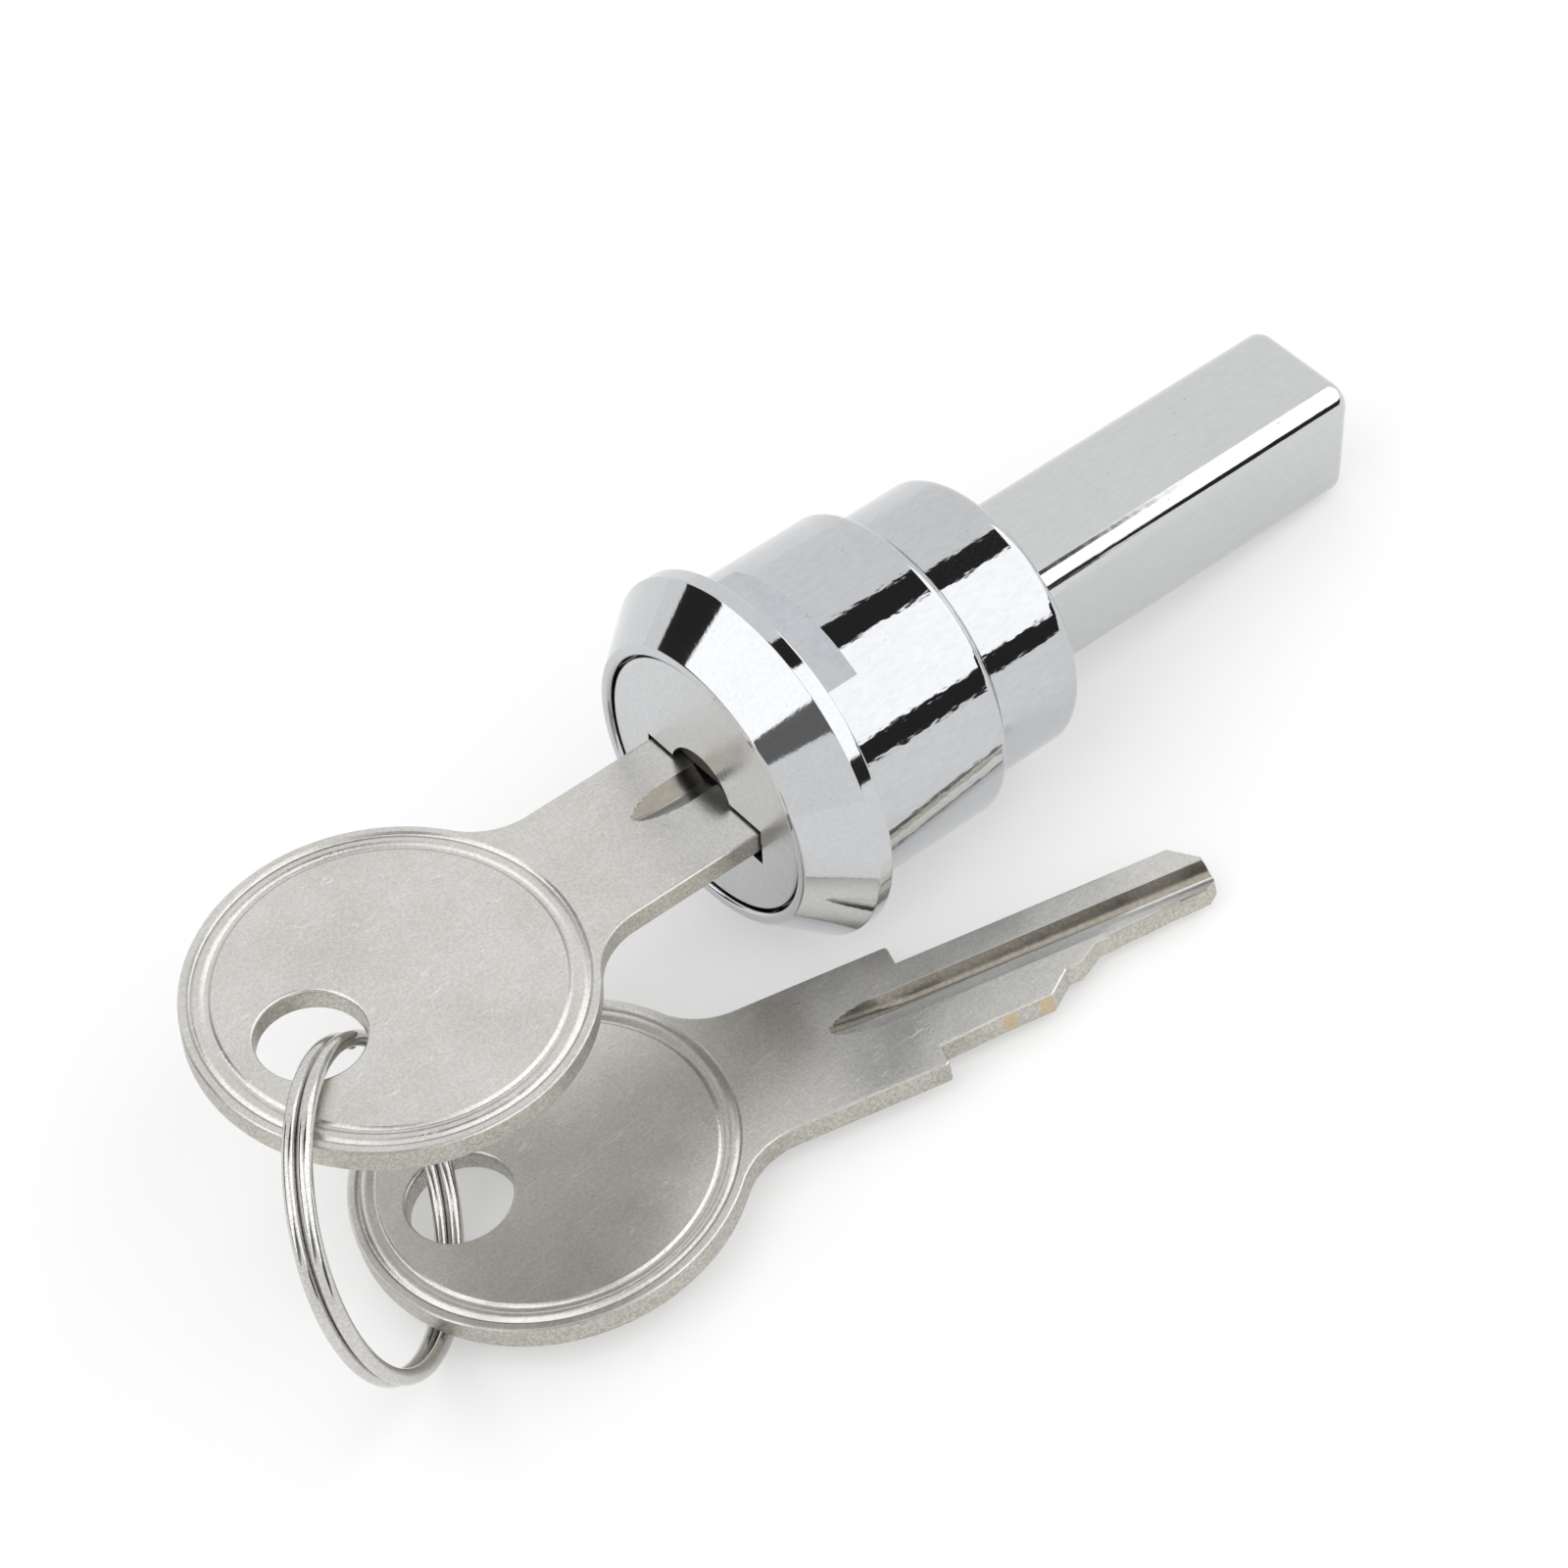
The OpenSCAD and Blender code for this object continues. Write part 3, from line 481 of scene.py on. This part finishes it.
def housingOutline():
    h = housing
    hold = h["hold"]
    lip = h["lipRound"]
    steep = atan2(h["bezelR"] - h["lipR"], h["landX"] - h["lipX"])
    outline = arc((h["lipX"] + lip, h["boreR"] + lip), lip, 270, 180, 5)
    outline += arc((h["lipX"] + lip, h["lipR"] - lip), lip, 180, 90 + degrees(steep), 5)
    edge = h["edgeRound"]
    corner = edge * 2 * tan(steep / 2)
    outline += [  # the cone's wide edge, then the narrow band behind it
        (h["landX"] - corner - hold, h["bezelR"] - (corner + hold) * tan(steep)),
        (h["landX"] - corner * 0.5, h["bezelR"] - corner * 0.5 * tan(steep)),
        (h["landX"] - corner * 0.1, h["bezelR"] - h["edgeDip"]),
        (h["landX"] + corner * 0.5, h["bezelR"]),
        (h["landX"] + corner * 0.5 + hold, h["bezelR"]),
        (-edge - hold, h["bezelR"]),
    ]
    outline += arc((-edge, h["bezelR"] - edge), edge, 90, 0, 4)
    outline += [(0, h["bezelR"] - edge - h["backHold"]), (0, h["barrelR"] + hold), (0, h["barrelR"])]
    outline += [(h["seatHold"], h["barrelR"]), (h["slotX"][1] + 2 * hold, h["barrelR"])]
    shoulder = h["shoulderRound"]
    outline += [(h["barrelX"] - shoulder - hold, h["barrelR"])]
    outline += arc((h["barrelX"] - shoulder, h["barrelR"] - shoulder), shoulder, 90, 0, 7)
    fillet = h["fillet"]
    outline += arc((h["barrelX"] + fillet, h["neckR"] + fillet), fillet, 180, 270, 6)
    outline += arc((h["undercutX"], h["neckR"]), h["undercutR"], 180, 360, 6)
    outline += [(h["undercutX"] + h["undercutR"] + hold, h["neckR"])]
    end = h["endRound"]
    outline += [(h["endX"] - end - hold, h["neckR"])]
    outline += arc((h["endX"] - end, h["neckR"] - end), end, 90, 0, 8)
    grooveStart, grooveEnd = h["grooveX"]
    retainerStart, retainerEnd = h["retainerX"]
    outline += [  # back inside, from the hub's recess to the head's
        (h["endX"], h["hubR"] + h["hubEdge"]), (h["endX"] - h["hubEdge"], h["hubR"]),
        (grooveEnd, h["hubR"]), (grooveEnd, h["grooveR"]),
        (grooveStart, h["grooveR"]), (grooveStart, h["hubR"]),
        (h["hubFloorX"], h["hubR"]), (h["hubFloorX"], h["plugR"]),
        (retainerEnd, h["plugR"]), (retainerEnd, h["retainerR"]),
        (retainerStart, h["retainerR"]), (retainerStart, h["plugR"]),
        (h["headFloorX"], h["plugR"]), (h["headFloorX"], h["boreR"]),
    ]
    return outline


def makeHousing():
    h = housing
    piece = lathe("housing", [(x, 0, z) for x, z in housingOutline()], (1, 0, 0), h["steps"])
    start, end = h["slotX"]
    wide, tall = h["slotTool"]
    for low, high in ((h["slotZ"], tall), (-tall, -h["slotZ"])):  # the two clip slots
        cut(piece, block("slotTool", (start, -wide, low), (end, wide, high)))
    start, end = h["channelX"]
    low, high = h["channelZ"]
    cut(piece, block("channelTool", (start, 0, low), (end, h["channelR"], high)))
    cut(piece, block("channelTool", (start, -high, 0), (end, -low, h["channelR"])))
    start, end = h["pinX"]
    turn = radians(h["pinAngle"])
    middle = ((start + end) / 2, h["pinOut"] * cos(turn), h["pinOut"] * sin(turn))
    cut(piece, rod("pinTool", h["pinR"], end - start, middle, h["pinSteps"], lyingAlong))
    smooth(piece)
    wear(piece, "castChrome", "turnedChrome",
         choice=lambda at, facing: "turnedChrome" if at.x < h["turnedTo"] else "castChrome")
    place(piece, lockPlace)
    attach(piece, "barrel")
    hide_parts("lock_body")


makeHousing()
print("housing made")

plug = {
    "steps": 200,
    "headR": 8.75, "faceX": -4.4, "edge": 0.14, "hold": 0.05, "backEdge": 0.1, "headBackX": -1.9,
    "bodyR": 6.2, "tailX": 14.2, "endX": 15.8, "flat": 4.9,
    "slotW": 7.64, "slotH": 1.99, "slotZ": -0.9,
    "shoulderW": 10.75, "shoulderH": 2.25, "shoulderX": -3.74,
    "reliefR": 2.85, "reliefAt": (0.3, -0.6), "reliefSteps": 96,
    "notchW": 0.9, "notchY": -5.0, "notchH": 1.75,
    "pinNotch": (1.35, 7.04), "pinArc": (130, 230), "pinSteps": 20, "pinTool": (10, 3),
    "waferX": (0.8, 3.25, 5.7, 8.15, 10.6, 13.05), "waferHalf": 0.66, "waferZ": (-3.36, 1.56),
    "wellY": (-4.2, 2.6), "wellZ": (0.5, 3.06),
    "retainerX": (-1.36, -0.24), "retainerHalf": 2.16, "retainerTop": -3.95,
    "springR": 0.58, "springAt": (-0.8, 0, -3.65), "springDepth": 2.6, "springSteps": 32,
    "past": 1, "reach": 8,  # how far the tools go past the ends, and to the sides
}


def makePlug():
    p = plug
    edge = p["edge"]
    back = p["backEdge"]
    past = p["past"]
    reach = p["reach"]
    outline = [(p["faceX"], 0), (p["faceX"], p["headR"] - edge - p["hold"])]
    outline += arc((p["faceX"] + edge, p["headR"] - edge), edge, 180, 90, 4)
    outline += [
        (p["faceX"] + edge + p["hold"], p["headR"]), (p["headBackX"] - back, p["headR"]),
        (p["headBackX"], p["headR"] - back), (p["headBackX"], p["bodyR"]),
        (p["endX"] - back, p["bodyR"]), (p["endX"], p["bodyR"] - back), (p["endX"], 0),
    ]
    piece = lathe("plugCylinder", [(x, 0, z) for x, z in outline], (1, 0, 0), p["steps"])
    for low, high in ((p["flat"], reach), (-reach, -p["flat"])):  # the two flats that drive the bar
        cut(piece, block("flatTool", (p["tailX"], -reach, low), (p["endX"] + past, reach, high)))

    def cutFromFace(name, endX, middleY, width, low, high):
        cut(piece, block(name, (p["faceX"] - past, middleY - width / 2, low),
                         (endX, middleY + width / 2, high)))

    z = p["slotZ"]
    cutFromFace("keywayTool", p["endX"] + past, 0, p["slotW"], z - p["slotH"] / 2, z + p["slotH"] / 2)
    cutFromFace("shoulderTool", p["shoulderX"], 0, p["shoulderW"],
                z - p["shoulderH"] / 2, z + p["shoulderH"] / 2)
    cutFromFace("notchTool", p["shoulderX"], p["notchY"], p["notchW"], z - p["notchH"], z)
    middle = (p["shoulderX"] - past, *p["reliefAt"])
    cut(piece, rod("reliefTool", p["reliefR"], 2 * past, middle, p["reliefSteps"], lyingAlong))
    depth, inner = p["pinNotch"]
    outer, length = p["pinTool"]
    start, end = p["pinArc"]
    sweep = arc((0, 0), inner, start, end, p["pinSteps"]) + arc((0, 0), outer, end, start, p["pinSteps"])
    cut(piece, prism("pinNotchTool", [(p["headBackX"] - depth, y, z) for y, z in sweep], (length, 0, 0)))
    for x in p["waferX"]:  # wafer slots and their spring wells
        for name, (left, right), (low, high) in (("waferTool", (-reach, reach), p["waferZ"]),
                                                 ("wellTool", p["wellY"], p["wellZ"])):
            cut(piece, block(name, (x - p["waferHalf"], left, low), (x + p["waferHalf"], right, high)))
    start, end = p["retainerX"]
    half = p["retainerHalf"]
    cut(piece, block("retainerTool", (start, -half, -reach), (end, half, p["retainerTop"])))
    cut(piece, rod("springTool", p["springR"], p["springDepth"], p["springAt"], p["springSteps"]))
    smooth(piece)

    def finish(at, facing):  # painted shade: all but the face and its rim is coloured dark, which stands in for the shade in the plug's keyway, slots and relief
        inside = at.x > p["faceX"] + 0.02 and at.yz.length < p["headR"] - 0.5
        return "plugInside" if inside else "plugChrome"

    wear(piece, "plugChrome", "plugInside", choice=finish)
    place(piece, lockPlace)
    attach(piece, "plug_unit")
    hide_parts("plug")


makePlug()
print("plug made")

bar = {
    "halfW": 4.45, "halfH": 4.5, "startX": 16.4, "tipX": 45.9,
    "edgeR": 1.6, "edgeSteps": 10, "tipR": 1.0, "tipSteps": 8,
    "hubR": 7.9, "hubX": (14.26, 16.83), "hubEdge": 0.2, "hubSteps": 160,
    "socketR": 6.26, "socketX": 15.86, "socketFlat": 4.96, "socketSteps": 96,
    "slotX": 16.5,
}


def makeBar():
    b = bar
    piece = block("driveBar", (b["startX"], -b["halfW"], -b["halfH"]), (b["tipX"], b["halfW"], b["halfH"]))
    pickEdges(piece, lambda one, other: abs(one.x - other.x) > 1)
    bpy.ops.mesh.bevel(offset=b["edgeR"], segments=b["edgeSteps"], affect="EDGES")
    pickEdges(piece, lambda one, other: min(one.x, other.x) > b["tipX"] - 0.01)
    bpy.ops.mesh.bevel(offset=b["tipR"], segments=b["tipSteps"], affect="EDGES")
    start, end = b["hubX"]
    edge = b["hubEdge"]
    hubOutline = [
        (start, 0), (start, b["hubR"] - edge), (start + edge, b["hubR"]),
        (end - edge, b["hubR"]), (end, b["hubR"] - edge), (end, 0),
    ]
    hub = lathe("hub", [(x, 0, z) for x, z in hubOutline], (1, 0, 0), b["hubSteps"])
    cut(piece, hub, "UNION")
    floor = b["socketX"]
    socketOutline = [(start - 1, 0), (start - 1, b["socketR"]), (floor, b["socketR"]), (floor, 0)]
    socket = lathe("socketTool", [(x, 0, z) for x, z in socketOutline], (1, 0, 0), b["socketSteps"])
    flats = block("flatTool", (start - 2, -8, -b["socketFlat"]), (floor + 1, 8, b["socketFlat"]))
    cut(socket, flats, "INTERSECT")
    cut(piece, socket)
    z = plug["slotZ"]  # the key's tip reaches into the hub through a slot like the plug's
    cut(piece, block("slotTool", (start - 1, -plug["slotW"] / 2, z - plug["slotH"] / 2),
                     (b["slotX"], plug["slotW"] / 2, z + plug["slotH"] / 2)))
    smooth(piece)
    wear(piece, "barChrome")
    place(piece, lockPlace)
    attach(piece, "plug_unit")
    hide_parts("drive_bar")


makeBar()
print("drive bar made")

key = {
    "thick": 1.75, "bowR": 12.45, "bowSteps": 150, "holeR": 3.3, "holeAt": -5.75, "edge": 0.2,
    "neckR": 5.0, "neckSteps": 18, "stemHalf": 5.2, "stemLen": 24.4, "stemCorner": 0.3,
    "bladeHalf": 3.7, "bladeLen": 19.9,
    "firstCut": 4.6, "cutStep": 2.45, "cutFlat": 0.45, "cuts": (0.25, 0.3, 1.7, 2.7, 2.85, 3.0),
    "tipBevel": 1.6, "tipRun": 0.7, "tipRise": (0.1, 0.8),
    "grooveAt": 0.65, "grooveHalf": 1.2, "grooveSlope": 0.42, "grooveBottom": 0.22, "grooveBack": 2,
    "grooveSteps": 12, "grooveReach": 1.6, "wheelR": 22.0, "runSteps": 24,
    # the hole's rounded lip, as distances out from the hole and in from the face
    "holeLip": ((0.3, -0.02), (0.12, 0.07), (0.03, 0.19), (0, 0.36)),
    "holeReach": (3.72, 1.5), "holeSteps": 120, "rimSteps": 200,
    # the pressed rim: radii, and heights over the face
    "rim": ((10.46, 0.03), (10.6, -0.1), (10.7, -0.16), (10.82, -0.18), (10.92, -0.15), (11.02, -0.09),
            (11.15, -0.03), (11.3, -0.006), (11.45, -0.03), (11.58, -0.09), (11.68, -0.15),
            (11.76, -0.17), (11.86, -0.11), (11.98, 0.03), (11.98, 0.5), (10.46, 0.5)),
    "inPlug": (-28.2, 0, -0.9),
}


def keyOutline():
    k = key
    rise = k["stemHalf"] + k["neckR"]
    centre = sqrt((k["bowR"] + k["neckR"]) ** 2 - rise ** 2)
    meet = degrees(atan2(rise, centre))
    corner = k["stemCorner"]
    cornerX = k["stemLen"] - corner
    cornerY = k["stemHalf"] - corner
    points = arc((0, 0), k["bowR"], meet, 360 - meet, k["bowSteps"])
    points += arc((centre, -rise), k["neckR"], 180 - meet, 90, k["neckSteps"])[1:]
    points += arc((cornerX, -cornerY), corner, -90, 0, 4)
    points += [(k["stemLen"], -k["bladeHalf"])]
    for i, depth in enumerate(k["cuts"]):
        at = k["stemLen"] + k["firstCut"] + i * k["cutStep"]
        points += [(at - k["cutFlat"], depth - k["bladeHalf"]), (at + k["cutFlat"], depth - k["bladeHalf"])]
    tip = k["stemLen"] + k["bladeLen"]
    last = k["cuts"][-1] - k["bladeHalf"]
    lowRise, highRise = k["tipRise"]
    points += [(tip - k["tipRun"], last + lowRise), (tip, last + highRise),
               (tip, k["bladeHalf"] - k["tipBevel"]), (tip - k["tipBevel"], k["bladeHalf"])]
    points += [(k["stemLen"], k["bladeHalf"])]
    points += arc((cornerX, cornerY), corner, 0, 90, 4)
    points += arc((centre, rise), k["neckR"], 270, 180 + meet, k["neckSteps"])[:-1]
    return points


def grooveTool():  # a round-bottomed groove that rises out of the stem as a wheel's cut does
    k = key
    top = k["thick"] / 2
    bottom = k["grooveBottom"]

    def sideHeight(y):  # over the groove's bottom, at a distance from its middle
        return sqrt(bottom ** 2 + (k["grooveSlope"] * y) ** 2) - bottom

    deep = sideHeight(k["grooveHalf"])
    section = []
    for i in range(-k["grooveSteps"], k["grooveSteps"] + 1):
        y = k["grooveHalf"] * k["grooveReach"] * i / k["grooveSteps"]
        section.append((k["grooveAt"] + y, top - deep + sideHeight(y)))
    section += [(section[-1][0], top + 2), (section[0][0], top + 2)]
    start = k["stemLen"] + k["bladeLen"] + 1
    piece = trace("grooveTool", [(start, y, z) for y, z in section])
    bpy.ops.mesh.edge_face_add()
    rest = k["stemLen"] - k["grooveBack"]
    bpy.ops.mesh.extrude_region_move(TRANSFORM_OT_translate={"value": (rest - start, 0, 0)})
    wheel = k["wheelR"]
    run = sqrt(2 * wheel * (deep + 0.05))
    step = run / k["runSteps"]
    lifted = 0
    for i in range(1, k["runSteps"] + 1):
        lift = wheel - sqrt(wheel ** 2 - (step * i) ** 2)
        bpy.ops.mesh.extrude_region_move(TRANSFORM_OT_translate={"value": (-step, 0, lift - lifted)})
        lifted = lift
    closeUp()
    return piece


def rimTool():  # the pressed groove and bead round the bow's face
    top = key["thick"] / 2
    return lathe("rimTool", [(r, 0, top + z) for r, z in key["rim"]], (0, 0, 1), key["rimSteps"])


def holeTool():
    k = key
    half = k["thick"] / 2
    wide, tall = k["holeReach"]
    lip = [(0, -tall), (wide, -tall)] + [(k["holeR"] + out, -half + up) for out, up in k["holeLip"]]
    lip += [(r, -z) for r, z in reversed(lip)]
    piece = lathe("holeTool", [(r, 0, z) for r, z in lip], (0, 0, 1), k["holeSteps"])
    piece.location = (k["holeAt"], 0, 0)
    pickOnly(piece)
    bpy.ops.object.transform_apply(location=True, rotation=False, scale=False)
    return piece


def turnedOver(tool):
    pickOnly(tool)
    tool.rotation_euler = (pi, 0, 0)
    bpy.ops.object.transform_apply(location=False, rotation=True, scale=False)
    return tool


def makeKey():
    k = key
    half = k["thick"] / 2
    piece = prism("keyBlank", [(x, y, -half) for x, y in keyOutline()], (0, 0, k["thick"]))
    pickEdges(piece, lambda one, other: abs(one.z - other.z) < 0.01)
    bpy.ops.mesh.bevel(offset=k["edge"], segments=3, affect="EDGES", clamp_overlap=False)
    cut(piece, holeTool())
    cut(piece, rimTool())
    cut(piece, turnedOver(rimTool()))
    cut(piece, grooveTool())
    cut(piece, turnedOver(grooveTool()))
    smooth(piece, 28)
    shallow = [k["stemLen"] + k["firstCut"] + i * k["cutStep"] for i in (0, 1)]
    grooveFrom = 15  # no groove lies nearer to the bow than this
    grooveSide = k["grooveAt"] + k["grooveHalf"] + 0.1

    def finish(at, facing):
        if abs(facing.z) < 0.35:  # the walls all round, and the floors of the two shallow cuts
            onFloor = at.y < 0 and min(abs(at.x - middle) for middle in shallow) < 0.5
            return "keyCut" if onFloor else "keyWall"
        if at.x < grooveFrom or abs(at.z) > half - 0.02 or abs(at.y) > grooveSide:
            return "keyNickel"
        # painted light: the slope facing one way gets the painted highlight, the other the painted shade
        return "grooveBright" if facing.y * facing.z > 0.08 else "grooveDull"

    wear(piece, "keyNickel", "keyWall", "keyCut", "grooveDull", "grooveBright", choice=finish)
    return piece


# Where each key lies. The first is in the plug, the second leans on the split ring.
firstPlace = lockPlace @ Matrix.Translation(Vector(key["inPlug"]) * mm)
second = {
    "at": (-19.9812, 7.78131, 0), "heading": -18.4, "lean": 6,
    "touch": (2.57455, 12.1809), "touchHeading": -11.9344,
}
secondPlace = (
    Matrix.Translation(Vector(second["at"]) * mm)
    @ Matrix.Rotation(radians(second["heading"] + second["touchHeading"]), 4, "Z")
    @ Matrix.Rotation(radians(-second["lean"]), 4, "X")
    @ Matrix.Rotation(radians(-second["touchHeading"]), 4, "Z")
    @ Matrix.Translation(Vector((-second["touch"][0], -second["touch"][1], key["thick"] / 2)) * mm)
)


def makeKeys():
    blank = makeKey()
    for name, where, body, node in (("firstKey", firstPlace, "first_key", "key_1"),
                                    ("secondKey", secondPlace, "second_key", "key_2")):
        piece = blank.copy()
        piece.data = blank.data.copy()
        bpy.context.collection.objects.link(piece)
        piece.name = name
        piece.data.name = name
        place(piece, where)
        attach(piece, body)
        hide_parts(node)
    bpy.data.objects.remove(blank)


makeKeys()
print("keys made")

ring = {
    "radius": 9.98, "wireT": 1.0, "wireW": 0.9, "wireSteps": 20,
    "coilStep": 0.96, "stepHalf": 22.5, "endGap": 30, "pitch": 3.0,
    "at": (-37.0659, -2.38423, 10.3974), "heading": -42.7, "lean": 12.9, "spin": 84.4593,
}


def turnBy(angle):  # with no window, a positive angle turns clockwise
    bpy.ops.transform.rotate(value=-radians(angle), orient_axis="Z", center_override=(0, 0, 0))


def coilHeight(angle):  # the two coils are joined by a smooth step
    share = min(max((angle - 360) / (2 * ring["stepHalf"]) + 0.5, 0), 1)
    return ring["coilStep"] * (share * share * (3 - 2 * share) - 0.5)


def makeRing():
    r = ring
    pickNothing()
    bpy.ops.mesh.primitive_circle_add(vertices=r["wireSteps"], radius=0.5, fill_type="NOTHING",
                                      location=(r["radius"], 0, 0), rotation=(pi / 2, 0, 0))
    piece = startPiece("splitRing")
    bpy.ops.object.transform_apply(location=True, rotation=True, scale=True)
    bpy.ops.object.mode_set(mode="EDIT")
    bpy.ops.mesh.select_all(action="SELECT")
    bpy.ops.transform.resize(value=(r["wireT"], 1, r["wireW"]), center_override=(r["radius"], 0, 0))
    first = r["endGap"]
    turnBy(first)
    bpy.ops.transform.translate(value=(0, 0, coilHeight(first)))
    for i in range(round((720 - 2 * first) / r["pitch"])):
        here = first + i * r["pitch"]
        rise = coilHeight(here + r["pitch"]) - coilHeight(here)
        bpy.ops.mesh.extrude_region_move(TRANSFORM_OT_translate={"value": (0, 0, rise)})
        turnBy(r["pitch"])
    bpy.ops.mesh.select_all(action="SELECT")
    bpy.ops.mesh.fill_holes(sides=r["wireSteps"])
    closeUp()
    smooth(piece, 50)
    wear(piece, "ringNickel")
    place(piece, Matrix.Translation(Vector(r["at"]) * mm)
          @ Matrix.Rotation(radians(r["heading"]), 4, "Z")
          @ Matrix.Rotation(radians(90 - r["lean"]), 4, "Y")
          @ Matrix.Rotation(radians(r["spin"]), 4, "Z"))
    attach(piece, "ring")
    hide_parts("split_ring")


makeRing()
print("split ring made")


def dressNodes():
    wears = {"stop_pin": "pinSteel", "retaining_ring": "clipBlack", "retainer": "brass",
             "retainer_spring": "springSteel"}
    for i in range(1, 7):
        wears[f"wafer_{i}"] = "brass"
        wears[f"wafer_spring_{i}"] = "springSteel"
    for node, finish in wears.items():
        for slot in frame["nodes"][node].material_slots:
            slot.material = metals[finish]


dressNodes()
print("inner pieces dressed")
